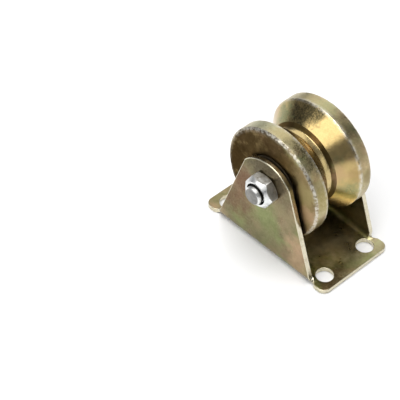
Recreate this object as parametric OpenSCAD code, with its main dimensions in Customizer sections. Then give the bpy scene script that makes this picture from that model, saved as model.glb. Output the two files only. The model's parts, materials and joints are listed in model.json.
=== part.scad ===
// Gate wheel: a V-groove steel wheel on two ball bearings, carried on a bolt
// between the two ears of a folded sheet-steel bracket.
// Origin at the centre of the base plate's underside, X along the plate,
// Y along the axle (nut on the -Y side), Z up from the plate to the wheel.

/* [Base plate] */
// Length of the base plate along the track
plate_len = 84; // [80:1:110]
// Width of the base plate across the track
plate_w = 46; // [46:1:50]
// Thickness of the bracket's sheet steel
sheet_t = 2.5; // [2:0.1:2.8]
// Rounding of the base plate's four corners
corner_r = 4; // [3:0.5:7]
// Distance between the screw holes along the plate
hole_pitch_x = 68; // [66:0.5:69]
// Distance between the screw holes across the plate
hole_pitch_y = 28.6; // [26:0.2:30]
// Diameter of the four screw holes
hole_d = 9; // [6:0.5:9]

/* [Ears] */
// Distance between the outer faces of the two ears
ear_span = 46; // [46:0.5:50]
// Outer radius of the bend between plate and ear
bend_r = 5; // [4:0.5:6]
// Half width of an ear where it rises from its bend
ear_foot = 31.2; // [30:0.2:31.2]
// Half width of an ear at the corners below its round tip
ear_shoulder = 15; // [13:0.5:18]
// Height of those corners above the plate's underside
shoulder_h = 52; // [50:0.5:54]
// Height of the tip of the ear
ear_h = 59.4; // [58:0.2:62]
// Diameter of the axle hole in each ear
ear_hole_d = 10.4; // [10.2:0.1:11]

/* [Wheel] */
// Height of the axle above the plate's underside
axle_h = 44; // [42:0.5:46]
// Outer diameter of the wheel
wheel_d = 60; // [56:1:62]
// Width of the wheel along its axle
wheel_w = 38; // [36:0.5:39]
// Width of each flat rim land beside the groove
land_w = 7.5; // [6:0.5:8]
// Bevel on the two outer rims
rim_bevel = 1.1; // [0.6:0.1:1.6]
// Half width of the groove where the flanks meet the recess
flank_end = 3.2; // [2.4:0.1:3.6]
// Half width of the recess floor at the bottom of the groove
floor_half = 1.5; // [1:0.1:2]
// Radius of the recess floor
floor_r = 19.5; // [18.5:0.1:20]

/* [Bearings] */
// Number of balls in each bearing
ball_count = 8; // [6:1:8]
// Diameter of a ball
ball_d = 4.762; // [4.5:0.01:4.8]
// Diameter of the circle through the ball centres
ball_circle = 20; // [19.8:0.1:20.2]
// Bore of the bearing's inner ring
bearing_bore = 10; // [10:0.1:10]
// Outer diameter of the bearing
bearing_od = 30; // [30:0.1:30]
// Width of the bearing
bearing_w = 9; // [9:0.5:9]
// Thickness of the cage's pressed sheet
cage_t = 0.5; // [0.4:0.05:0.6]

/* [Axle bolt and nut] */
// Width across the flats of the bolt head and the nut
hex_af = 16; // [16:1:17]
// Height of the nut
nut_h = 7; // [6.6:0.2:8.4]
// Height of the bolt head
head_h = 6.4; // [6:0.1:7]
// Length of the bolt's shank under its head
bolt_len = 55.6; // [55.2:0.2:58]

/* [Hidden] */

$fn = 96;
eps = 0.01;
bolt_d = bearing_bore;

// the bracket
ear_in = ear_span / 2 - sheet_t;
bend_y = ear_span / 2 - bend_r;
tip_rise = ear_h - shoulder_h;
tip_r = (ear_shoulder * ear_shoulder + tip_rise * tip_rise) / (2 * tip_rise);
ear_lean = (ear_foot - ear_shoulder) / (shoulder_h - bend_r);
notch_depth = 2.4;
notch_run = 1.6;
notch_ease = 0.8;

// the wheel
rim_r = wheel_d / 2;
half_w = wheel_w / 2;
land_y = half_w - land_w;
flank_r = rim_r - (land_y - flank_end);
seat_gap = 0.01;
seat_r = bearing_od / 2;
shoulder_r = 13;
seat_bevel = 0.6;
wear_r = 0.25;

// the bearings, each in its own frame with its axis along Z
bearing_y = half_w - bearing_w / 2;
pitch_r = ball_circle / 2;
ball_r = ball_d / 2;
race_gap = 0.045;
race_r = ball_r * 1.05;
land_offset = 1.7;
inner_land_r = pitch_r - land_offset;
outer_land_r = pitch_r + land_offset;
ring_bevel = 0.4;
shield_t = 0.3;
shield_gap = 0.4;
shield_seat_r = outer_land_r + 1.2;
shield_z = bearing_w / 2 - 0.5;
pocket_r = ball_r + 0.1;
cage_half_w = 1.1;
cage_in_r = pitch_r - cage_half_w;
cage_out_r = pitch_r + cage_half_w;
rivet_r = 0.4;
rivet_head_r = 0.75;
rivet_head_h = 0.3;

// the axle's loose pieces
washer_t = ear_in - half_w;
washer_r = 7.5;
loose_bore_r = bolt_d / 2 + 0.1;
spacer_r = 7;
spacer_len = 2 * (half_w - bearing_w);
thread_pitch = 1.5;
thread_len = 26;
thread_depth = 0.92;
crest_half = 0.07;
minor_r = bolt_d / 2 - thread_depth;
end_bevel = 0.25;
hex_corner_r = hex_af / sqrt(3);
seat_face_r = hex_af * 0.46;
seat_slope = 0.6;
top_face_r = hex_af * 0.43;
top_slope = 1;
sink_r = bolt_d / 2 + 0.5;
sink_h = 0.6;

zinc_bracket = [0.60, 0.57, 0.38];
zinc_wheel = [0.72, 0.62, 0.36];
zinc_clear = [0.78, 0.80, 0.82];
steel = [0.66, 0.67, 0.69];
brass_tone = [0.70, 0.62, 0.42];

// ---- placing ----

// Turns a shape drawn round +Z so that it lies round the axle, +Z becoming +Y
module on_axle(y = 0) {
    translate([0, y, axle_h]) rotate([-90, 0, 0]) children();
}

// A bearing's own frame: +Z points out of the wheel on either side
module in_bearing(side) {
    translate([0, side * bearing_y, axle_h]) rotate([-90 * side, 0, 0]) children();
}

// Turns a shape over when it faces the other way, way being +1 or -1
module facing(way) {
    rotate([way < 0 ? 180 : 0, 0, 0]) children();
}

module ring_of(count, radius) {
    for (i = [0 : count - 1])
        rotate([0, 0, i * 360 / count]) translate([radius, 0, 0]) children();
}

module tube(r_out, r_in, h) {
    difference() {
        cylinder(r = r_out, h = h);
        translate([0, 0, -1]) cylinder(r = r_in, h = h + 2);
    }
}

// ---- bracket ----

// Plan of the flat plate: rounded corners, bend lines along the middle and a shallow
// relief in each long edge between the end of a bend and the tab beside it
module plate_plan() {
    difference() {
        union() {
            square([plate_len - 2 * corner_r, plate_w], center = true);
            square([plate_len, plate_w - 2 * corner_r], center = true);
            for (sx = [-1, 1], sy = [-1, 1])
                translate([sx * (plate_len / 2 - corner_r), sy * (plate_w / 2 - corner_r)])
                    circle(r = corner_r);
        }
        for (flip = [0, 1]) mirror([0, flip]) {
            translate([-ear_foot, bend_y]) square([2 * ear_foot, plate_w]);
            relief_plan();
        }
    }
}

// What the two reliefs in one long edge take away, from one side's to the other's
module relief_plan() {
    top = plate_w / 2;
    start = ear_foot + notch_run;
    right = [
        [start, top - notch_depth],
        [start + notch_ease, top - notch_ease],
        [start + 2 * notch_ease, top - notch_ease / 3],
        [start + 3 * notch_ease, top + 1]
    ];
    left = [for (i = [3 : -1 : 0]) [-right[i][0], right[i][1]]];
    polygon(concat(right, left));
}

// Section of one bend and its ear, drawn with the axle's direction as x
module ear_section() {
    translate([ear_in, bend_r]) square([sheet_t, ear_h]);
    translate([bend_y, bend_r]) intersection() {
        difference() {
            circle(r = bend_r);
            circle(r = bend_r - sheet_t);
        }
        translate([0, -bend_r]) square([bend_r, bend_r]);
    }
}

// Half width of the ear between its slanted edges at a height
function ear_half(z) = ear_shoulder + (shoulder_h - z) * ear_lean;

// Side view of the ear: straight slanted edges cut off by a round tip
module ear_outline() {
    low = shoulder_h - 1;
    mid = shoulder_h - 0.5;
    polygon([
        [-ear_foot, -1],
        [ear_foot, -1],
        [ear_foot, bend_r],
        [ear_half(mid), mid],
        [-ear_half(mid), mid],
        [-ear_foot, bend_r]
    ]);
    intersection() {
        translate([0, ear_h - tip_r]) circle(r = tip_r);
        polygon([
            [-ear_half(low), low],
            [ear_half(low), low],
            [ear_half(ear_h), ear_h + 1],
            [-ear_half(ear_h), ear_h + 1]
        ]);
    }
}

module ear() {
    intersection() {
        rotate([90, 0, 90]) translate([0, 0, -ear_foot - 1])
            linear_extrude(2 * ear_foot + 2) ear_section();
        rotate([90, 0, 0]) translate([0, 0, -ear_span])
            linear_extrude(2 * ear_span) ear_outline();
    }
}

module bracket() {
    color(zinc_bracket) difference() {
        union() {
            linear_extrude(sheet_t) plate_plan();
            for (turn = [0, 180]) rotate([0, 0, turn]) ear();
        }
        for (sx = [-1, 1], sy = [-1, 1])
            translate([sx * hole_pitch_x / 2, sy * hole_pitch_y / 2, -1])
                cylinder(d = hole_d, h = sheet_t + 2);
        on_axle(-ear_span) cylinder(d = ear_hole_d, h = 2 * ear_span);
    }
}

// ---- wheel ----

// Outline of half the wheel's section from the recess floor to the bearing seat
// on the side given by +1 or -1, radius as x and the axle's direction as y
function wheel_half(side) = [
    for (p = [
        [floor_r, floor_half],
        [flank_r, flank_end],
        [rim_r - wear_r, land_y - wear_r],
        [rim_r, land_y + wear_r],
        [rim_r, half_w - rim_bevel],
        [rim_r - rim_bevel, half_w],
        [seat_r + seat_bevel, half_w],
        [seat_r, half_w - seat_bevel],
        [seat_r, half_w - bearing_w],
        [shoulder_r, half_w - bearing_w]
    ]) [p[0], side * p[1]]
];

module wheel() {
    half = wheel_half(-1);
    last = len(half) - 1;
    back = [for (i = [0 : last]) half[last - i]];
    color(zinc_wheel) on_axle() rotate_extrude() polygon(concat(wheel_half(1), back));
}

// ---- bearings ----

module outer_ring(side) {
    outer_r = bearing_od / 2 - seat_gap;
    top = bearing_w / 2;
    color(steel) in_bearing(side) difference() {
        rotate_extrude() polygon([
            [outer_land_r, -shield_z],
            [shield_seat_r, -shield_z],
            [shield_seat_r, -top],
            [outer_r - ring_bevel, -top],
            [outer_r, -top + ring_bevel],
            [outer_r, top - ring_bevel],
            [outer_r - ring_bevel, top],
            [shield_seat_r, top],
            [shield_seat_r, shield_z],
            [outer_land_r, shield_z]
        ]);
        race(pitch_r + ball_r + race_gap - race_r);
    }
}

module inner_ring(side) {
    bore_r = bearing_bore / 2 + seat_gap;
    top = bearing_w / 2;
    color(steel) in_bearing(side) difference() {
        rotate_extrude() polygon([
            [bore_r, -top + ring_bevel],
            [bore_r + ring_bevel, -top],
            [inner_land_r, -top],
            [inner_land_r, top],
            [bore_r + ring_bevel, top],
            [bore_r, top - ring_bevel]
        ]);
        race(pitch_r - ball_r - race_gap + race_r);
    }
}

// The groove that the balls roll in
module race(centre_r) {
    rotate_extrude() translate([centre_r, 0]) circle(r = race_r);
}

module balls(side) {
    color(steel) in_bearing(side) ring_of(ball_count, pitch_r) sphere(d = ball_d);
}

// The round bar over which the cage's strip is bent at each ball
module pocket_bar(r) {
    rotate([0, 90, 0]) cylinder(r = r, h = 4 * ball_r, center = true);
}

// One pressed half of the ball cage, half +1 facing out of the wheel
module cage_half(side, half) {
    color(brass_tone) in_bearing(side) facing(half) difference() {
        union() {
            tube(cage_out_r, cage_in_r, cage_t);
            intersection() {
                tube(cage_out_r, cage_in_r, pocket_r + cage_t);
                ring_of(ball_count, pitch_r) pocket_bar(pocket_r + cage_t);
            }
        }
        ring_of(ball_count, pitch_r) pocket_bar(pocket_r);
        rotate([0, 0, 180 / ball_count]) ring_of(ball_count, pitch_r)
            translate([0, 0, -1]) cylinder(r = rivet_r + seat_gap, h = cage_t + 2);
    }
}

module cage_rivets(side) {
    color(steel) in_bearing(side) rotate([0, 0, 180 / ball_count])
        ring_of(ball_count, pitch_r) {
            translate([0, 0, -cage_t]) cylinder(r = rivet_r, h = 2 * cage_t);
            for (half = [-1, 1]) facing(half)
                translate([0, 0, cage_t]) cylinder(r = rivet_head_r, h = rivet_head_h);
        }
}

module shield(side, half) {
    color(steel) in_bearing(side) facing(half)
        translate([0, 0, shield_z])
            tube(shield_seat_r - seat_gap, inner_land_r + shield_gap, shield_t);
}

// ---- axle ----

// A hexagon standing on its seat at z = 0, with the corners bevelled at both faces:
// steeply at the top and slightly at the seat
module hex_body(h) {
    wide = hex_corner_r + 1;
    intersection() {
        cylinder(r = hex_corner_r, h = h, $fn = 6);
        rotate_extrude() polygon([
            [0, 0],
            [seat_face_r, 0],
            [wide, (wide - seat_face_r) * seat_slope],
            [wide, h - (wide - top_face_r) * top_slope],
            [top_face_r, h],
            [0, h]
        ]);
    }
}

// Hexagon head, smooth shank, then the thread as a row of rings down to a bevelled end
module axle_bolt() {
    major_r = bolt_d / 2;
    color(zinc_clear) on_axle(ear_span / 2) {
        hex_body(head_h);
        translate([0, 0, -bolt_len]) rotate_extrude() polygon(concat(
            [[0, 0], [minor_r - end_bevel, 0], [minor_r, 2 * end_bevel]],
            [for (z = [thread_pitch / 2 : thread_pitch : thread_len])
                each thread_tooth(z, z < thread_pitch ? major_r - end_bevel : major_r)],
            [[major_r, thread_len + thread_pitch], [major_r, bolt_len + 1], [0, bolt_len + 1]]
        ));
    }
}

// One ring of the thread: the valley below it and its crest
function thread_tooth(z, crest_r) = [
    [minor_r, z],
    [crest_r, z + thread_pitch / 2 - crest_half],
    [crest_r, z + thread_pitch / 2 + crest_half]
];

// The nut stands on the front ear, its bore plain and countersunk at both faces
module axle_nut() {
    bore_r = bolt_d / 2 + seat_gap;
    color(zinc_clear) translate([0, -ear_span / 2, axle_h]) rotate([90, 0, 0]) difference() {
        hex_body(nut_h);
        translate([0, 0, -1]) cylinder(r = bore_r, h = nut_h + 2);
        for (end = [0, 1]) translate([0, 0, end * nut_h]) facing(1 - 2 * end)
            translate([0, 0, -eps]) cylinder(r1 = sink_r, r2 = bore_r - eps, h = sink_h);
    }
}

module bearing_spacer_tube() {
    color(steel) on_axle(-spacer_len / 2) tube(spacer_r, loose_bore_r, spacer_len);
}

module ear_washer(side) {
    color(zinc_clear) on_axle(side > 0 ? half_w : -half_w - washer_t)
        tube(washer_r, loose_bore_r, washer_t);
}

bracket();
wheel();
axle_bolt();
axle_nut();
bearing_spacer_tube();
ear_washer(-1);  // ear_washer_front
ear_washer(1);  // ear_washer_rear
outer_ring(-1);  // outer_ring_front
inner_ring(-1);  // inner_ring_front
balls(-1);  // balls_front
cage_half(-1, 1);  // cage_outer_front
cage_half(-1, -1);  // cage_inner_front
cage_rivets(-1);  // cage_rivets_front
shield(-1, 1);  // shield_outer_front
shield(-1, -1);  // shield_inner_front
outer_ring(1);  // outer_ring_rear
inner_ring(1);  // inner_ring_rear
balls(1);  // balls_rear
cage_half(1, 1);  // cage_outer_rear
cage_half(1, -1);  // cage_inner_rear
cage_rivets(1);  // cage_rivets_rear
shield(1, 1);  // shield_outer_rear
shield(1, -1);  // shield_inner_rear
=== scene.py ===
"""Looks of the gate wheel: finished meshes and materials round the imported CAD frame."""
import json
import math

import bmesh
import bpy
from mathutils import Matrix, Vector, noise


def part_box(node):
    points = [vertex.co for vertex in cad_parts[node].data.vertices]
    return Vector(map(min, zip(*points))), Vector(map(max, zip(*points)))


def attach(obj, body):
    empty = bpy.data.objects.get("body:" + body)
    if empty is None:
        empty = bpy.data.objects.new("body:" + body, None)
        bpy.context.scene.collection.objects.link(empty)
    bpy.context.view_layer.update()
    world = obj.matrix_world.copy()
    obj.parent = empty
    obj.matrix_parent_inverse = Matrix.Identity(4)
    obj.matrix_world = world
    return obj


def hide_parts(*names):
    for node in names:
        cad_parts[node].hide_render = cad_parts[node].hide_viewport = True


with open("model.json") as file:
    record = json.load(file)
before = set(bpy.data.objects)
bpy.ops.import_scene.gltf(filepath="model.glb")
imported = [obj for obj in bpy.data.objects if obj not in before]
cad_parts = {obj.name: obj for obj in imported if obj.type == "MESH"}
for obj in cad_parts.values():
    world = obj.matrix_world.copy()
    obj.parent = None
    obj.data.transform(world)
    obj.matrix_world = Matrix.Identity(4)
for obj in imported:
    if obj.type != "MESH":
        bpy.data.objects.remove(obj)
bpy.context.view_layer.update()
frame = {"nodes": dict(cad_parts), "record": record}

MM = 0.001

# ---------------------------------------------------------------- sizes, in millimetres


def box_mm(node):
    """A CAD node's lowest and highest corner, in millimetres."""
    low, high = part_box(node)
    return low / MM, high / MM


BRACKET_HIGH = box_mm("bracket")[1]
WHEEL_LOW, WHEEL_HIGH = box_mm("wheel")
NUT_LOW, NUT_HIGH = box_mm("axle_nut")
BOLT_LOW, BOLT_HIGH = box_mm("axle_bolt")
MOUNTS = {m["name"]: m for m in frame["record"]["mounts"]}

AXLE_H = (WHEEL_LOW.z + WHEEL_HIGH.z) / 2
PLATE_HALF_L = BRACKET_HIGH.x
EAR_OUT = BRACKET_HIGH.y
EAR_H = BRACKET_HIGH.z
HOLE_X = MOUNTS["base_holes"]["dims"]["spacing_x_mm"] / 2
HOLE_Y = MOUNTS["base_holes"]["dims"]["spacing_y_mm"] / 2
HOLE_R = MOUNTS["base_holes"]["dims"]["hole_r_mm"]
AXLE_HOLE_R = 5.2
SHEET_T = 2.5
BEND_R = 5.0
CORNER_R = 4.0
EAR_FOOT = 31.2
EAR_SHOULDER = 15.0
SHOULDER_H = 52.0
# The relief beside each ear's foot, and the length over which the bend fades into the tab.
NOTCH_DEPTH = 1.3
BLEND_RUN = 3.2
# Sheared edges: rolled over on the outer face of the folded sheet, broken on the inner one.
EDGE_ROLL = 0.5
EDGE_BREAK = 0.3
BEND_CUTS = 10
BLEND_CUTS = 6

WHEEL_R = (WHEEL_HIGH.x - WHEEL_LOW.x) / 2
WHEEL_HALF = WHEEL_HIGH.y
LAND_WIDTH = 7.5
LAND_Y = WHEEL_HALF - LAND_WIDTH
RIM_BEVEL = 1.1
# The 90 degree flanks end here, and sloping walls lead down to the recess's flat floor.
FLANK_END = 3.2
FLOOR_HALF = 1.5
FLOOR_R = 19.5
SEAT_R = 15.0
SEAT_DEPTH = 9.0
SEAT_BEVEL = 0.6
SHOULDER_R = 13.0
# The zinc is worn off round the middle of the rim's bevel and round the groove's edges, and
# the faces darken round the bearing seats: grease, and painted shade where the ears shade them.
RIM_WORN = 0.62
RIM_WORN_BORDER = 0.3
GROOVE_WORN = 0.45
HUB_DARK_REACH = 6.5
WHEEL_COLUMNS = 384

HEX_AF = NUT_HIGH.z - NUT_LOW.z
HEX_TOP_R = HEX_AF * 0.43
HEX_TOP_SLOPE = 1.0
HEX_SEAT_R = HEX_AF * 0.46
HEX_SEAT_SLOPE = 0.6
HEX_CORNER_BREAK = 0.10
THREAD_R = 5.0
THREAD_PITCH = 1.5
THREAD_DEPTH = 0.92
THREAD_LENGTH = 26.0
BORE_GAP = 0.06
COUNTERSINK_R = THREAD_R + 0.9
# How far out of the nut, and into it, the bolt's thread is painted near-black: painted shade in
# the gap round the bolt.
SHADED_THREAD = 0.9

FLOOR_DROP = 0.05


# ---------------------------------------------------------------- mesh helpers


def add_piece(name, verts, faces, materials, face_slots=None, attributes=None):
    """A mesh object from points in millimetres, smooth shaded, with float point attributes."""
    mesh = bpy.data.meshes.new(name)
    mesh.from_pydata([Vector(v) * MM for v in verts], [], faces)
    for material in materials:
        mesh.materials.append(material)
    if face_slots:
        mesh.polygons.foreach_set("material_index", face_slots)
    mesh.polygons.foreach_set("use_smooth", [True] * len(mesh.polygons))
    for key, values in (attributes or {}).items():
        mesh.attributes.new(key, "FLOAT", "POINT").data.foreach_set("value", values)
    mesh.update()
    piece = bpy.data.objects.new(name, mesh)
    bpy.context.scene.collection.objects.link(piece)
    return piece


def keep_flats_flat(piece):
    """Large flat faces keep their own normal, so that only the rounded edges shade round."""
    weighted = piece.modifiers.new("flat faces", "WEIGHTED_NORMAL")
    weighted.mode = "FACE_AREA"
    weighted.weight = 90
    weighted.keep_sharp = False


def rounded(corners, step):
    """A closed outline whose corners (x, y, radius) become arcs, a point every step degrees."""
    points = []
    count = len(corners)
    for i, (x, y, radius) in enumerate(corners):
        here = Vector((x, y))
        if radius <= 0:
            points.append(here)
            continue
        before = (Vector(corners[i - 1][:2]) - here).normalized()
        after = (Vector(corners[(i + 1) % count][:2]) - here).normalized()
        half = before.angle(after) / 2
        reach = radius / math.tan(half)
        centre = here + (before + after).normalized() * (radius / math.sin(half))
        start = here + before * reach - centre
        end = here + after * reach - centre
        sweep = start.angle_signed(end)
        pieces = max(2, round(abs(math.degrees(sweep)) / step))
        for k in range(pieces + 1):
            turn = Matrix.Rotation(-sweep * k / pieces, 2)
            points.append(centre + turn @ start)
    return points


def grid_faces(rows, columns, close_rows):
    """Quads of a grid whose columns run round, rows listed one after another."""
    faces = []
    last = rows if close_rows else rows - 1
    for i in range(last):
        a = i * columns
        b = ((i + 1) % rows) * columns
        for j in range(columns):
            k = (j + 1) % columns
            faces.append((a + j, b + j, b + k, a + k))
    return faces


def on_axle(radius, angle, y):
    """The point at that radius and angle round the axle, and at y along it."""
    return (radius * math.cos(angle), y, AXLE_H + radius * math.sin(angle))


# ---------------------------------------------------------------- material nodes


class Nodes:
    """A node material with one Principled shader, and short calls for what feeds it."""

    def __init__(self, name, metallic=1.0):
        self.material = bpy.data.materials.new(name)
        self.material.use_nodes = True
        self.tree = self.material.node_tree
        self.shader = self.tree.nodes["Principled BSDF"]
        self.shader.inputs["Metallic"].default_value = metallic
        self.place = self.add("ShaderNodeTexCoord").outputs["Object"]

    def add(self, kind, **settings):
        node = self.tree.nodes.new(kind)
        for key, value in settings.items():
            setattr(node, key, value)
        return node

    def link(self, source, target):
        self.tree.links.new(source, target)

    def feed(self, socket, value):
        if isinstance(value, bpy.types.NodeSocket):
            self.link(value, socket)
        else:
            socket.default_value = value

    def noise(self, scale, detail=3.0, roughness=0.55, distortion=0.0, place=None):
        node = self.add("ShaderNodeTexNoise")
        self.feed(node.inputs["Vector"], place or self.place)
        node.inputs["Scale"].default_value = scale
        node.inputs["Detail"].default_value = detail
        node.inputs["Roughness"].default_value = roughness
        node.inputs["Distortion"].default_value = distortion
        return node.outputs["Fac"]

    def shifted(self, shift):
        node = self.add("ShaderNodeMapping")
        self.link(self.place, node.inputs["Vector"])
        node.inputs["Location"].default_value = shift
        return node.outputs["Vector"]

    def ramp(self, factor, stops):
        node = self.add("ShaderNodeValToRGB")
        node.color_ramp.interpolation = "EASE"
        points = node.color_ramp.elements
        while len(points) < len(stops):
            points.new(0.5)
        for point, (at, colour) in zip(points, stops):
            point.position = at
            point.color = (*colour, 1.0)
        self.link(factor, node.inputs["Fac"])
        return node.outputs["Color"]

    def remap(self, value, low, high, to_low=0.0, to_high=1.0):
        node = self.add("ShaderNodeMapRange")
        self.feed(node.inputs["Value"], value)
        for key, number in (
            ("From Min", low),
            ("From Max", high),
            ("To Min", to_low),
            ("To Max", to_high),
        ):
            node.inputs[key].default_value = number
        return node.outputs["Result"]

    def mix(self, factor, first, second, blend="MIX"):
        node = self.add("ShaderNodeMix", data_type="RGBA", blend_type=blend)
        self.feed(node.inputs[0], factor)
        for socket, value in ((node.inputs[6], first), (node.inputs[7], second)):
            if isinstance(value, tuple):
                value = (*value, 1.0)
            self.feed(socket, value)
        return node.outputs[2]

    def math(self, operation, first, second):
        node = self.add("ShaderNodeMath", operation=operation)
        self.feed(node.inputs[0], first)
        self.feed(node.inputs[1], second)
        return node.outputs[0]

    def patch(self, centre, radius, ragged, seed):
        """1 in the middle of a ragged blot on the surface and 0 beyond its radius, in mm."""
        gap = self.add("ShaderNodeVectorMath", operation="DISTANCE")
        self.link(self.place, gap.inputs[0])
        gap.inputs[1].default_value = [v * MM for v in centre]
        shift = self.shifted((seed, seed, seed))
        wobble = self.noise(170, detail=4.0, roughness=0.7, distortion=0.3, place=shift)
        swing = ragged * radius * MM
        reach = self.math("ADD", gap.outputs["Value"], self.remap(wobble, 0.3, 0.7, -swing, swing))
        return self.remap(reach, radius * MM, radius * 0.3 * MM)

    def attribute(self, name):
        return self.add("ShaderNodeAttribute", attribute_name=name).outputs["Fac"]

    def bump(self, height, depth_mm, strength, under=None):
        node = self.add("ShaderNodeBump")
        node.inputs["Strength"].default_value = strength
        node.inputs["Distance"].default_value = depth_mm * MM
        self.link(height, node.inputs["Height"])
        if under:
            self.link(under, node.inputs["Normal"])
        return node.outputs["Normal"]

    def finish(self, colour, roughness, normal):
        self.feed(self.shader.inputs["Base Color"], colour)
        self.feed(self.shader.inputs["Roughness"], roughness)
        self.link(normal, self.shader.inputs["Normal"])
        return self.material


# ---------------------------------------------------------------- tones, as linear colour

CREAM = (0.68, 0.63, 0.48)
STRAW = (0.52, 0.46, 0.29)
ROSE = (0.51, 0.345, 0.21)
TAN = (0.29, 0.215, 0.12)
PINK = (0.28, 0.155, 0.09)
GREEN = (0.23, 0.265, 0.10)
OLIVE = (0.22, 0.205, 0.095)
SIENNA = (0.135, 0.058, 0.022)
UMBER = (0.055, 0.037, 0.014)
PALE_GREEN = (0.62, 0.62, 0.42)
SAGE = (0.36, 0.37, 0.20)
LEAF = (0.36, 0.38, 0.17)
MOSS = (0.24, 0.27, 0.13)
OCHRE = (0.33, 0.28, 0.13)
BRASS = (0.33, 0.27, 0.10)
COPPER = (0.52, 0.33, 0.20)
# Soot-dark stains, and painted shade on the flank's top.
SOOT_AND_SHADE = (0.06, 0.052, 0.026)
# Painted shade: this brown darkens the wheel's near face.
SHADE_BROWN = (0.035, 0.02, 0.007)
# Grease and painted shade round the bearing seats.
GREASE_AND_SHADE = (0.07, 0.045, 0.018)
HAZE = (0.42, 0.36, 0.25)
WORN_STEEL = (0.74, 0.71, 0.62)
WARM_EDGE = (0.85, 0.74, 0.58)


# ---------------------------------------------------------------- finished materials


def bracket_zinc():
    """Yellow-chromated zinc on pressed sheet: drifting green, tan and pink, pale sheared edges."""
    n = Nodes("bracket_zinc")
    drift = n.noise(34, detail=2.5, roughness=0.5, distortion=0.15)
    colour = n.ramp(
        drift,
        [(0.28, ROSE), (0.40, TAN), (0.49, OLIVE), (0.56, GREEN), (0.64, TAN), (0.76, STRAW)],
    )
    # Blots: centre and radius in millimetres, tone, and how much of it shows. Some are painted
    # light or shade, as marked.
    for centre, radius, tone, share in (
        ((3, -EAR_OUT, 10), 12, OLIVE, 0.7),
        ((15, -EAR_OUT, 30), 12, TAN, 0.6),
        # Painted shade with the zinc's own reddish tint: these two sienna blots darken the near
        # ear towards its left.
        ((-14, -EAR_OUT, 37), 15, SIENNA, 0.95),
        ((-21, -EAR_OUT, 20), 15, SIENNA, 0.85),
        ((-1, -EAR_OUT, 25), 13, GREEN, 1.0),
        ((13, -EAR_OUT, 45), 10, UMBER, 0.45),
        ((23, -EAR_OUT, 19), 10, ROSE, 0.9),
        ((24, -EAR_OUT, 8), 10, ROSE, 0.8),
        # Painted shade: umber darkens the near ear towards its top.
        ((-3, -EAR_OUT, 59), 19, UMBER, 0.95),
        # Painted light: straw brightens the rear ear's inner face, in the wheel's shadow.
        ((22, EAR_OUT - SHEET_T, 12), 12, STRAW, 0.8),
        ((0, EAR_OUT, 58), 17, UMBER, 0.8),
        ((-10, EAR_OUT, 28), 14, PINK, 0.8),
        ((14, EAR_OUT, 22), 13, GREEN, 0.8),
        ((37, 2, SHEET_T), 13, OLIVE, 0.8),
        ((36, 20, SHEET_T), 11, STRAW, 0.5),
        ((-39, -14, SHEET_T), 11, OLIVE, 0.9),
        # Painted reflection: umber darkens the near right tab, where it mirrors the wheel.
        ((37, -13, SHEET_T), 13, UMBER, 0.85),
        # Painted light: straw brightens the plate under the wheel, in its shadow.
        ((18, 3, SHEET_T), 20, STRAW, 1.0),
    ):
        blot = n.patch(centre, radius, 0.3, centre[0] * 0.01)
        colour = n.mix(n.math("MULTIPLY", blot, share), colour, tone)
    stain = n.noise(190, detail=4.0, roughness=0.65, distortion=0.2)
    colour = n.mix(n.remap(stain, 0.38, 0.72, 0.0, 0.45), colour, HAZE, "MULTIPLY")
    speck = n.noise(1000, detail=2.0, roughness=0.6)
    colour = n.mix(n.remap(speck, 0.3, 0.7, 0.0, 0.18), colour, STRAW)
    scuff = n.noise(420, roughness=0.7)
    edge = n.attribute("edge")
    worn = n.math("MULTIPLY", edge, n.remap(scuff, 0.25, 0.5, 0.45, 1.0))
    colour = n.mix(worn, colour, CREAM)
    rough = n.remap(n.noise(150, roughness=0.6), 0.3, 0.7, 0.26, 0.42)
    rough = n.math("SUBTRACT", rough, n.math("MULTIPLY", edge, 0.10))
    grain = n.bump(n.noise(1100, roughness=0.6), 0.03, 0.5)
    dents = n.bump(n.noise(60, detail=2.0, roughness=0.4), 0.25, 0.35, grain)
    return n.finish(colour, rough, dents)


def turning_lines(n, under):
    """Fine rings round the axle, as a lathe leaves them, over the bumps given."""
    rings = n.add("ShaderNodeTexWave", wave_type="RINGS", rings_direction="Y")
    n.link(n.shifted((0, 0, -AXLE_H * MM)), rings.inputs["Vector"])
    rings.inputs["Scale"].default_value = 260
    rings.inputs["Distortion"].default_value = 0.6
    rings.inputs["Detail"].default_value = 2.0
    return n.bump(rings.outputs["Fac"], 0.004, 0.5, under)


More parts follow.
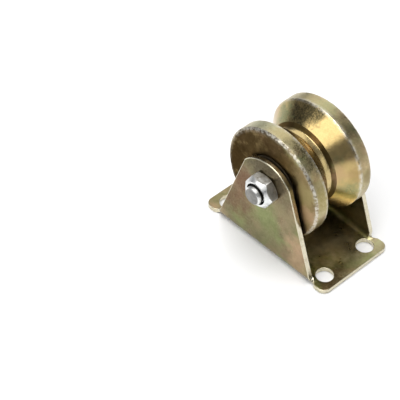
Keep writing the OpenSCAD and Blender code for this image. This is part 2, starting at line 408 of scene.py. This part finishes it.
def wheel_zinc(
    name, gold, shade, roughness, grain_mm, brushed, blots=(), fleck_low=0.5, edge_tint=None
):
    """Yellow-chromated turned steel. The shade gathers in drifts, and the rims are worn bright.

    Blots are (centre and radius in millimetres, tone, share), stains and some painted shade, and
    fleck_low is how much of a blot is left where its flecks are thinnest.
    """
    n = Nodes(name)
    drift = n.noise(48, distortion=0.3)
    colour = n.ramp(drift, [(0.32, shade), (0.47, gold), (0.60, gold), (0.72, LEAF)])
    elsewhere = n.shifted((0.9, 0.4, 0.2))
    blush = n.noise(85, detail=2.0, roughness=0.5, distortion=0.2, place=elsewhere)
    colour = n.mix(n.remap(blush, 0.55, 0.72, 0.0, 0.5), colour, COPPER)
    speck = n.noise(1300, detail=2.0, roughness=0.7)
    colour = n.mix(n.remap(speck, 0.35, 0.75, 0.0, 0.45), colour, shade)
    cloud = n.noise(300, roughness=0.6)
    rough = n.remap(cloud, 0.3, 0.7, roughness * 0.8, roughness * 1.3)
    fleck = n.remap(n.noise(1500, roughness=0.75), 0.40, 0.54, fleck_low, 1.0)
    for centre, radius, tone, share in blots:
        blot = n.math("MULTIPLY", n.patch(centre, radius, 0.45, centre[2] * 0.01), share)
        stain_and_shade = n.math("MULTIPLY", blot, fleck)
        colour = n.mix(stain_and_shade, colour, tone)
        rough = n.math("ADD", rough, n.math("MULTIPLY", stain_and_shade, 0.12))
    scuff = n.noise(480, detail=4.0, roughness=0.8)
    worn = n.math("MULTIPLY", n.attribute("wear"), n.remap(scuff, 0.44, 0.54, 0.15, 1.0))
    # Painted shade with some grease: the faces darken round the bearing seats, where the ears
    # shade them.
    colour = n.mix(n.math("MULTIPLY", n.attribute("hub_grime_and_shade"), 0.92), colour, GREASE_AND_SHADE)
    colour = n.mix(worn, colour, WORN_STEEL)
    grain = n.bump(n.noise(1500, roughness=0.65), grain_mm, 0.6)
    if edge_tint:
        n.shader.inputs["Specular Tint"].default_value = (*edge_tint, 1.0)
    n.shader.inputs["Anisotropic"].default_value = brushed
    tangent = n.add("ShaderNodeTangent", direction_type="RADIAL", axis="Y")
    n.link(tangent.outputs["Tangent"], n.shader.inputs["Tangent"])
    return n.finish(colour, rough, turning_lines(n, grain))


def plain_steel(name, tone, roughness, grain_mm=0.01):
    """Bare or clear-plated steel with a faint cloud, handling marks and fine grain."""
    n = Nodes(name)
    cloud = n.noise(180, roughness=0.6, distortion=0.3)
    dark = tuple(c * 0.72 for c in tone)
    spot = tuple(c * 0.5 for c in tone)
    colour = n.ramp(cloud, [(0.32, dark), (0.62, tone)])
    spots = n.noise(1400, detail=2.0, roughness=0.7)
    colour = n.mix(n.remap(spots, 0.60, 0.72, 0.0, 0.5), colour, spot)
    smear = n.noise(500, detail=2.0, roughness=0.6)
    rough = n.remap(smear, 0.3, 0.7, roughness * 0.75, roughness * 1.35)
    grain = n.noise(2200, detail=2.0, roughness=0.6)
    return n.finish(colour, rough, n.bump(grain, grain_mm, 0.5))


BRACKET_MAT = bracket_zinc()
FLANK_MAT = wheel_zinc(
    "wheel_flank",
    gold=(0.55, 0.41, 0.18),
    shade=(0.38, 0.28, 0.11),
    roughness=0.17,
    grain_mm=0.014,
    brushed=0.5,
    blots=[
        # Painted shade: the two dark blots at the flank's top paint the dark side of the lamp's
        # reflection, beside its bright fan.
        ((-7, 6, AXLE_H + 24), 12, SOOT_AND_SHADE, 1.0),
        ((-1, 10, AXLE_H + 28), 9, SOOT_AND_SHADE, 1.0),
        ((-18, 6, AXLE_H + 17), 9, MOSS, 0.9),
        ((27, 8, AXLE_H - 4), 9, MOSS, 0.75),
        ((20, -8, AXLE_H + 14), 10, SOOT_AND_SHADE, 0.8),
    ],
)
RECESS_MAT = wheel_zinc(
    "wheel_recess",
    gold=(0.66, 0.52, 0.25),
    shade=(0.38, 0.28, 0.11),
    roughness=0.24,
    grain_mm=0.02,
    brushed=0.4,
)
# Painted shade: the recess walls get a near-black zinc, for the shade deep in the groove.
SHADED_WALL_MAT = wheel_zinc(
    "recess_wall_shaded",
    gold=(0.11, 0.08, 0.03),
    shade=(0.07, 0.045, 0.018),
    roughness=0.35,
    grain_mm=0.02,
    brushed=0.3,
    edge_tint=WARM_EDGE,
)
LAND_MAT = wheel_zinc(
    "wheel_land",
    gold=(0.50, 0.43, 0.235),
    shade=(0.27, 0.215, 0.10),
    roughness=0.29,
    grain_mm=0.03,
    brushed=0.3,
    blots=[
        ((-14, -15, AXLE_H + 26), 12, PALE_GREEN, 0.9),
        ((2, 15, AXLE_H + 30), 10, SAGE, 0.8),
        ((14, 15, AXLE_H + 26), 10, SOOT_AND_SHADE, 0.45),
        ((23, 16, AXLE_H + 19), 9, SOOT_AND_SHADE, 0.4),
        ((12, -14, AXLE_H + 27), 9, SOOT_AND_SHADE, 0.9),
        ((19, -13, AXLE_H + 23), 8, SOOT_AND_SHADE, 0.8),
        ((29, -15, AXLE_H + 7), 12, BRASS, 0.85),
        ((-20, -15, AXLE_H - 22), 12, SOOT_AND_SHADE, 0.5),
    ],
    fleck_low=0.25,
)
FACE_MAT = wheel_zinc(
    "wheel_face",
    gold=(0.27, 0.205, 0.10),
    shade=(0.16, 0.11, 0.05),
    roughness=0.32,
    grain_mm=0.02,
    brushed=0.2,
    blots=[
        # Painted shade: the brown blots darken the near face towards its upper left, and the umber
        # one beside the ear's tip darkens it round the ear.
        ((-26, -WHEEL_HALF, AXLE_H - 2), 26, SHADE_BROWN, 1.0),
        ((-17, -WHEEL_HALF, AXLE_H + 19), 18, SHADE_BROWN, 0.9),
        ((0, -WHEEL_HALF, AXLE_H + 24), 14, SHADE_BROWN, 0.85),
        ((8, -WHEEL_HALF, AXLE_H + 20), 8, UMBER, 0.8),
        ((22, -WHEEL_HALF, AXLE_H + 8), 10, OCHRE, 0.7),
        ((25, -WHEEL_HALF, AXLE_H - 4), 8, ROSE, 0.6),
        ((14, WHEEL_HALF, AXLE_H + 14), 16, UMBER, 0.8),
    ],
    fleck_low=0.95,
    edge_tint=WARM_EDGE,
)
NUT_MAT = plain_steel("clear_zinc", (0.84, 0.85, 0.84), 0.34)
END_MAT = plain_steel("bolt_end", (0.27, 0.265, 0.25), 0.36)
# Painted shade: the bearing rings and the spacer tube are near-black brown, for the shade in the
# gap behind the ear.
SHADED_RING_MAT = plain_steel("bearing_steel", (0.085, 0.066, 0.042), 0.68)
# Painted shade: the nut's bore and the bolt's thread next to the nut are near-black, for the shade
# in the gap.
GAP_MAT = plain_steel("thread_dark", (0.035, 0.033, 0.03), 0.55)
BALL_MAT = plain_steel("ball_steel", (0.68, 0.68, 0.70), 0.08, grain_mm=0.002)
CAGE_MAT = plain_steel("cage_steel", (0.48, 0.46, 0.42), 0.34)
SHIELD_MAT = plain_steel("shield_steel", (0.56, 0.57, 0.58), 0.30)


# ---------------------------------------------------------------- bracket

BEND_Y = EAR_OUT - BEND_R
BEND_RUN = (BEND_R - SHEET_T / 2) * math.pi / 2
EAR_START = BEND_Y + BEND_RUN


def unfolded(height):
    """Where a height on the ear lies on the flat blank, measured from the plate's middle."""
    return EAR_START + height - BEND_R


def ear_tip_points(step_deg=6.0):
    """The round tip of the ear on the flat blank, from its right corner to its left one."""
    rise = EAR_H - SHOULDER_H
    radius = (EAR_SHOULDER**2 + rise**2) / (2 * rise)
    middle = unfolded(EAR_H) - radius
    half = math.asin(EAR_SHOULDER / radius)
    count = round(2 * math.degrees(half) / step_deg)
    angles = [half - 2 * half * k / count for k in range(1, count)]
    return [(radius * math.sin(a), middle + radius * math.cos(a), 0) for a in angles]


def blank_outline():
    """The bracket's flat blank: two tabs, two reliefs a side and two ears with round tips."""
    top = BRACKET_HIGH.y
    right = [
        (PLATE_HALF_L, top, CORNER_R),
        (EAR_FOOT + 4.2, top, 3.0),
        (EAR_FOOT + 1.8, top - NOTCH_DEPTH, 1.8),
        (EAR_FOOT, top - NOTCH_DEPTH + 0.1, 0.8),
        (EAR_FOOT, EAR_START, 6.0),
        (EAR_SHOULDER, unfolded(SHOULDER_H), 0.5),
    ]
    left = [(-x, y, r) for x, y, r in reversed(right)]
    upper = right + ear_tip_points() + left
    lower = [(-x, -y, r) for x, y, r in upper]
    return rounded(upper + lower, 10.0)


def circle_outline(x, y, radius, count=56):
    """A hole's outline, running the other way round from the blank's."""
    angles = [-2 * math.pi * k / count for k in range(count)]
    return [Vector((x + radius * math.cos(a), y + radius * math.sin(a))) for a in angles]


def inset(points, distance):
    """The outline moved into the sheet by a distance, mitred at each point."""
    moved = []
    count = len(points)
    for i, here in enumerate(points):
        one = (here - points[i - 1]).normalized()
        two = (points[(i + 1) % count] - here).normalized()
        normal = Vector((-one.y - two.y, one.x + two.x)).normalized()
        cosine = max(0.5, normal.dot(Vector((-one.y, one.x))))
        moved.append(here + normal * distance / cosine)
    return moved


def edge_steps(count=4):
    """(inset, depth) round a sheared edge: rolled over below, a small break above."""
    turns = [math.pi / 2 * k / count for k in range(count + 1)]
    below = [(EDGE_ROLL * (1 - math.sin(a)), EDGE_ROLL * (1 - math.cos(a))) for a in turns]
    above = [(EDGE_BREAK * (1 - math.cos(a)), EDGE_BREAK * (1 - math.sin(a))) for a in turns]
    return below + [(distance, SHEET_T - depth) for distance, depth in above]


def fold(u, v, w):
    """A point of the flat blank, w into the sheet from its outer face, folded into place."""
    side = 1 if v >= 0 else -1
    v = abs(v)
    flat = Vector((u, side * v, w))
    if v <= BEND_Y:
        return flat
    angle = min(v - BEND_Y, BEND_RUN) / BEND_RUN * math.pi / 2
    beyond = max(0.0, v - EAR_START)
    radius = BEND_R - w
    bent = Vector(
        (
            u,
            side * (BEND_Y + radius * math.sin(angle)),
            BEND_R - radius * math.cos(angle) + beyond,
        )
    )
    past = min(1.0, max(0.0, (abs(u) - EAR_FOOT) / BLEND_RUN))
    ease = past * past * (3 - 2 * past)
    return bent.lerp(flat, ease)


def sheet_blank(loops):
    """A bmesh of the flat blank with its rounded sheared edges, and its edge layer."""
    made = bmesh.new()
    edge = made.verts.layers.float.new("edge")
    steps = edge_steps()
    rims = {0: [], len(steps) - 1: []}
    for loop in loops:
        rows = []
        for k, (distance, depth) in enumerate(steps):
            row = []
            for p in inset(loop, distance):
                vert = made.verts.new((p.x, p.y, depth))
                vert[edge] = 0.0 if k in rims else 1.0
                row.append(vert)
            rows.append(row)
        count = len(loop)
        for low, high in zip(rows, rows[1:]):
            for i in range(count):
                j = (i + 1) % count
                made.faces.new((low[i], low[j], high[j], high[i]))
        for k in rims:
            rims[k] += [
                made.edges.get((rows[k][i], rows[k][(i + 1) % count])) for i in range(count)
            ]
    for rim in rims.values():
        bmesh.ops.triangle_fill(made, edges=rim, use_beauty=True)
    return made


def cut_across(made, points, normal):
    """Cuts every face on the plane through each point, so that it can bend there."""
    for point in points:
        everything = made.verts[:] + made.edges[:] + made.faces[:]
        bmesh.ops.bisect_plane(made, geom=everything, plane_co=point, plane_no=normal, dist=1e-5)


def bracket_piece():
    """The sheet bracket: a flat blank with its holes, cut along the bends and folded."""
    loops = [blank_outline()]
    loops += [circle_outline(x, y, HOLE_R) for x in (-HOLE_X, HOLE_X) for y in (-HOLE_Y, HOLE_Y)]
    loops += [circle_outline(0, side * unfolded(AXLE_H), AXLE_HOLE_R) for side in (-1, 1)]
    made = sheet_blank(loops)
    bends = [BEND_Y + BEND_RUN * k / BEND_CUTS for k in range(BEND_CUTS + 1)]
    cut_across(made, [(0, s * v, 0) for v in bends for s in (-1, 1)], (0, 1, 0))
    blends = [EAR_FOOT + BLEND_RUN * k / BLEND_CUTS for k in range(BLEND_CUTS + 1)]
    cut_across(made, [(s * u, 0, 0) for u in blends for s in (-1, 1)], (1, 0, 0))
    for vert in made.verts:
        vert.co = fold(*vert.co) * MM
    bmesh.ops.recalc_face_normals(made, faces=made.faces)
    for face in made.faces:
        face.smooth = True
    mesh = bpy.data.meshes.new("bracket_sheet")
    made.to_mesh(mesh)
    made.free()
    mesh.materials.append(BRACKET_MAT)
    piece = bpy.data.objects.new("bracket_sheet", mesh)
    bpy.context.scene.collection.objects.link(piece)
    keep_flats_flat(piece)
    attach(piece, "frame")
    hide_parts("bracket")
    return piece


# ---------------------------------------------------------------- wheel


def wheel_corners(side):
    """Half of the wheel's section, (radius, y, rounding), from the recess to the bore."""
    flank_r = WHEEL_R - (LAND_Y - FLANK_END)
    corners = [
        (FLOOR_R, FLOOR_HALF, 0.35),
        (flank_r, FLANK_END, 0.3),
        (WHEEL_R, LAND_Y, 0.3),
        (WHEEL_R, WHEEL_HALF - RIM_BEVEL, 0.25),
        (WHEEL_R - RIM_BEVEL, WHEEL_HALF, 0.25),
        (SEAT_R + SEAT_BEVEL, WHEEL_HALF, 0.1),
        (SEAT_R, WHEEL_HALF - SEAT_BEVEL, 0.1),
        (SEAT_R, WHEEL_HALF - SEAT_DEPTH, 0.0),
        (SHOULDER_R, WHEEL_HALF - SEAT_DEPTH, 0.15),
    ]
    return [(r, side * y, round_r) for r, y, round_r in corners]


def resampled(points, longest):
    """A closed outline with its long stretches divided, so that no step is over longest."""
    made = []
    count = len(points)
    for i, here in enumerate(points):
        after = points[(i + 1) % count]
        parts = max(1, math.ceil((after - here).length / longest))
        made += [here.lerp(after, k / parts) for k in range(parts)]
    return made


def rim_wear(radius, y):
    """How worn a point of the wheel's section is, from 0 to 1: the rims and groove edges."""
    rim = WHEEL_R - RIM_BEVEL / 2
    bevel = math.hypot(radius - rim, abs(y) - (WHEEL_HALF - RIM_BEVEL / 2))
    groove = math.hypot(radius - WHEEL_R, abs(y) - LAND_Y)
    outer = 1.0 - min(1.0, max(0.0, (bevel - RIM_WORN) / RIM_WORN_BORDER))
    inner = 0.9 * (1.0 - min(1.0, groove / GROOVE_WORN))
    return max(outer, inner)


def hub_grime_and_shade(radius, y):
    """How dark a point of the wheel's section is painted round the bearings, from 0 to 1: grease,
    and painted shade from the ear.
    """
    on_face = abs(y) > WHEEL_HALF - 0.1
    return max(0.0, 1.0 - (radius - SEAT_R) / HUB_DARK_REACH) if on_face else 0.0


def dent(place, wear):
    """How deep a worn edge is knocked in at a point, in millimetres.

    Broad knocks and finer chips lie where their own noise rises above a threshold.
    """
    knock = noise.noise(place * 0.55) - 0.22
    chip = noise.noise(place * 1.7 + Vector((7, 3, 5))) - 0.30
    return wear * (0.55 * max(0.0, knock) + 0.35 * max(0.0, chip))


def wheel_material(radius, y):
    """The material at a point of the wheel's section."""
    across = abs(y)
    if across < LAND_Y and radius > SHOULDER_R + 1:
        if across <= FLOOR_HALF + 0.2:
            return RECESS_MAT
        return SHADED_WALL_MAT if across < FLANK_END - 0.05 else FLANK_MAT
    if across < WHEEL_HALF - RIM_BEVEL and radius > WHEEL_R - 0.3:
        return LAND_MAT
    return FACE_MAT


def wheel_piece():
    """The turned wheel: its section swept round the axle, with knocks in the worn edges."""
    materials = [FLANK_MAT, LAND_MAT, FACE_MAT, RECESS_MAT, SHADED_WALL_MAT]
    section = rounded(wheel_corners(1) + wheel_corners(-1)[::-1], 18.0)
    section = resampled(section, 1.6)
    verts, wears, hub_dark_values = [], [], []
    for r, y in section:
        wear = rim_wear(r, y)
        hub_dark_values += [hub_grime_and_shade(r, y)] * WHEEL_COLUMNS
        wears += [wear] * WHEEL_COLUMNS
        for j in range(WHEEL_COLUMNS):
            angle = 2 * math.pi * j / WHEEL_COLUMNS
            inwards = dent(Vector(on_axle(r, angle, y)), wear) * 0.7
            verts.append(on_axle(r - inwards, angle, y - math.copysign(inwards, y)))
    slots = []
    for i in range(len(section)):
        middle = (section[i] + section[(i + 1) % len(section)]) / 2
        slots += [materials.index(wheel_material(*middle))] * WHEEL_COLUMNS
    faces = grid_faces(len(section), WHEEL_COLUMNS, close_rows=True)
    attributes = {"wear": wears, "hub_grime_and_shade": hub_dark_values}
    piece = add_piece("wheel_body", verts, faces, materials, slots, attributes)
    keep_flats_flat(piece)
    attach(piece, "wheel")
    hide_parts("wheel")
    return piece


# ---------------------------------------------------------------- bolt and nut

# The angles of a hexagon's columns, close together at its corners.
HEX_COLUMNS = [
    corner + part
    for corner in range(0, 360, 60)
    for part in (0, 0.8, 1.8, 4, 8, 13, 18, 24, 30, 36, 42, 47, 52, 56, 58.2, 59.2)
]


def hex_radius(degrees):
    """The hexagon's outline at an angle, its corners on multiples of 60 and just broken."""
    from_flat = math.radians((degrees % 60) - 30)
    return min(HEX_AF / 2 / math.cos(from_flat), HEX_AF / math.sqrt(3) - HEX_CORNER_BREAK)


def thread_radius(along, degrees, crest=THREAD_R):
    """The radius of a right-hand thread's surface, along measured from the thread's end."""
    phase = (along / THREAD_PITCH - degrees / 360) % 1.0
    from_crest = abs(phase - 0.5) * 2
    depth = min(1.0, max(0.0, (from_crest - 0.14) / 0.72))
    return crest - THREAD_DEPTH * depth


def hex_end_rows(inner, face_r, slope, face, way):
    """Rings of a hexagon's end from its hole outwards: the flat face, then the bevelled corners.

    Each is (radius by angle, y by angle); way is +1 where the body lies on the +Y side.
    """
    rows = [(lambda d, r=r: r, lambda d: face) for r in (inner, face_r * 0.86, face_r - 0.12)]
    for k in range(7):

        def cone(d, share=k / 6):
            return face_r + (hex_radius(d) - face_r) * share

        def rise(d, at=cone):
            return face + way * (at(d) - face_r) * slope

        rows.append((cone, rise))
    return rows


def spun(rows):
    """Points of rings (radius by angle, y by angle) round the axle."""
    return [
        on_axle(radius(d), math.radians(d), y(d)) for radius, y in rows for d in HEX_COLUMNS
    ]


def hex_piece(name, rows, node, closed, marks):
    """A nut or bolt from its rings, with crisp facets, that takes the CAD node's place.

    Each mark is a range of rings and their own material: a thread's inside painted dark as shade,
    or a cut end.
    """
    columns = len(HEX_COLUMNS)
    verts = spun(rows)
    faces = grid_faces(len(rows), columns, close_rows=closed)
    if not closed:
        faces.append(tuple(range(columns)))
        faces.append(tuple(range(len(verts) - 1, len(verts) - 1 - columns, -1)))
    slots = [0] * len(faces)
    for slot, (rings, _) in enumerate(marks, 1):
        slots[rings.start * columns:rings.stop * columns] = [slot] * (len(rings) * columns)
    if not closed:
        slots[-2] = 1  # the cap of the first ring, a bolt's cut end
    materials = [NUT_MAT] + [material for _, material in marks]
    piece = add_piece(name, verts, faces, materials, slots)
    split = piece.modifiers.new("crisp facets", "EDGE_SPLIT")
    split.split_angle = math.radians(26)
    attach(piece, "frame")
    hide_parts(node)
    return piece


def nut_piece():
    """The nut, with a threaded bore that is sunk at both ends."""
    top, seat = NUT_LOW.y, NUT_HIGH.y
    bore_r = THREAD_R + BORE_GAP
    sink = 1.0
    rows = hex_end_rows(COUNTERSINK_R, HEX_SEAT_R, HEX_SEAT_SLOPE, seat, -1)
    rows += hex_end_rows(COUNTERSINK_R, HEX_TOP_R, HEX_TOP_SLOPE, top, 1)[::-1]
    steps = 44
    inside = range(len(rows) - 1, len(rows) + steps + 1)
    for k in range(steps + 1):
        depth = sink + (seat - top - 2 * sink) * k / steps
        ease = min(1.0, k / 4, (steps - k) / 4)

        def bore(d, at=depth, e=ease):
            return bore_r - (bore_r - thread_radius(at, d, bore_r)) * e

        rows.append((bore, lambda d, at=depth: top + at))
    return hex_piece("axle_nut_hex", rows, "axle_nut", True, [(inside, GAP_MAT)])


def bolt_piece():
    """The bolt: its cut end, a thread that runs out into the shank, and the hexagon head."""
    end, under, top = BOLT_LOW.y, EAR_OUT, BOLT_HIGH.y
    rows = [(lambda d, r=r: r, lambda d: end) for r in (0.02, 2.2, 4.0, 4.2)]
    end_rim = len(rows) - 1
    step = 0.1
    for k in range(1, round(THREAD_LENGTH / step)):
        along = k * step
        limit = min(THREAD_R - 0.1, 4.25 + along)
        fade = min(1.0, (THREAD_LENGTH - along) / 2, max(0.0, (along - 1.4) / 1.6))

        def flank(d, at=along, most=limit, f=fade):
            return min(most, THREAD_R - (THREAD_R - thread_radius(at, -d)) * f)

        rows.append((flank, lambda d, at=along: end + at))
    for radius, y in ((THREAD_R, end + THREAD_LENGTH), (THREAD_R, under - 0.4)):
        rows.append((lambda d, r=radius: r, lambda d, at=y: at))
    rows += hex_end_rows(THREAD_R + 0.3, HEX_SEAT_R, HEX_SEAT_SLOPE, under, 1)
    rows += hex_end_rows(0.02, HEX_TOP_R, HEX_TOP_SLOPE, top, -1)[::-1]
    # Painted shade: these rings of the thread, either side of the nut's face, are dark.
    shade_start = end_rim + round((NUT_LOW.y - end - SHADED_THREAD) / step)
    shade_rings = range(shade_start, shade_start + round(2 * SHADED_THREAD / step))
    marks = [(range(end_rim), END_MAT), (shade_rings, GAP_MAT)]
    return hex_piece("axle_bolt_hex", rows, "axle_bolt", False, marks)


# ---------------------------------------------------------------- bearings and washers


def dress(node, material):
    """Gives a CAD node its finished material."""
    materials = frame["nodes"][node].data.materials
    materials.clear()
    materials.append(material)


def dress_bearings():
    """The bearings, their spacer tube and the washers keep the CAD's shapes."""
    for side in ("front", "rear"):
        dress(f"outer_ring_{side}", SHADED_RING_MAT)
        dress(f"inner_ring_{side}", SHADED_RING_MAT)
        dress(f"balls_{side}", BALL_MAT)
        dress(f"cage_outer_{side}", CAGE_MAT)
        dress(f"cage_inner_{side}", CAGE_MAT)
        dress(f"cage_rivets_{side}", CAGE_MAT)
        dress(f"shield_outer_{side}", SHIELD_MAT)
        dress(f"shield_inner_{side}", SHIELD_MAT)
        dress(f"ear_washer_{side}", NUT_MAT)
    dress("bearing_spacer_tube", SHADED_RING_MAT)


# ---------------------------------------------------------------- studio

VIEW_AZIMUTH = 46.56
VIEW_ELEVATION = 45.6
VIEW_ROLL = 0.5
VIEW_DISTANCE = 791.7
VIEW_TARGET = Vector((-15.1, -52.0, AXLE_H))
LENS = 150.3

# Name, azimuth and elevation in degrees, distance, width and height in metres, and glow.
LAMPS = (
    ("key", -7, 47.5, 1.0, 1.1, 0.65, 2.2),
    ("rear_left", -142, 30, 1.0, 0.65, 0.93, 1.15),
    ("rear_right", 125, 17, 1.0, 0.22, 0.60, 1.0),
    ("overhead", 0, 90, 1.3, 1.0, 1.0, 4.85),
)


def direction(azimuth, elevation):
    """The unit vector towards an azimuth (0 is -Y, 90 is +X) and an elevation."""
    a, e = math.radians(azimuth), math.radians(elevation)
    return Vector((math.sin(a) * math.cos(e), -math.cos(a) * math.cos(e), math.sin(e)))


def aim(thing, place, target, roll=0.0):
    """Puts a camera or lamp at a place so that it looks at the target."""
    look = (target - place).to_track_quat("-Z", "Y")
    turn = Matrix.Rotation(math.radians(roll), 4, "Z")
    thing.matrix_world = Matrix.Translation(place) @ look.to_matrix().to_4x4() @ turn


def studio_camera():
    lens = bpy.data.cameras.new("camera")
    lens.lens = LENS
    lens.sensor_width = 36
    lens.clip_start = 0.05
    camera = bpy.data.objects.new("camera", lens)
    bpy.context.scene.collection.objects.link(camera)
    target = VIEW_TARGET * MM
    place = target + direction(VIEW_AZIMUTH, VIEW_ELEVATION) * VIEW_DISTANCE * MM
    aim(camera, place, target, VIEW_ROLL)
    bpy.context.scene.camera = camera


def softbox(name, azimuth, elevation, distance, width, height, glow):
    """A soft rectangular lamp aimed at the wheel, sizes in metres, glow in W/(m2 sr)."""
    lamp = bpy.data.lights.new(name, "AREA")
    lamp.shape = "RECTANGLE"
    lamp.size = width
    lamp.size_y = height
    lamp.energy = glow * math.pi * width * height
    lamp.color = (1.0, 0.985, 0.96)
    piece = bpy.data.objects.new(name, lamp)
    bpy.context.scene.collection.objects.link(piece)
    target = Vector((0, 0, AXLE_H * MM))
    aim(piece, target + direction(azimuth, elevation) * distance, target)


def floor():
    """A large pale floor just under the bracket's plate."""
    n = Nodes("floor", metallic=0.0)
    cloud = n.noise(3.0, detail=2.0)
    tone = n.ramp(cloud, [(0.3, (0.93, 0.94, 0.96)), (0.7, (0.945, 0.955, 0.975))])
    material = n.finish(tone, 0.75, n.bump(n.noise(600, detail=2.0), 0.02, 0.1))
    half = 3000
    corners = [(-half, -half), (half, -half), (half, half), (-half, half)]
    verts = [(x, y, -FLOOR_DROP) for x, y in corners]
    ground = add_piece("floor", verts, [(0, 1, 2, 3)], [material])


def studio():
    """The camera, the floor, the lamps and the sky."""
    studio_camera()
    floor()
    for name, azimuth, elevation, distance, width, height, glow in LAMPS:
        softbox(name, azimuth, elevation, distance, width, height, glow)
    world = bpy.data.worlds.new("studio")
    world.use_nodes = True
    sky = world.node_tree.nodes["Background"]
    sky.inputs["Color"].default_value = (0.95, 0.97, 1.0, 1.0)
    sky.inputs["Strength"].default_value = 0.20
    bpy.context.scene.world = world
    bpy.context.scene.view_settings.view_transform = "Standard"
    bpy.context.scene.view_settings.exposure = 0.0


studio()
bracket_piece()
wheel_piece()
nut_piece()
bolt_piece()
dress_bearings()
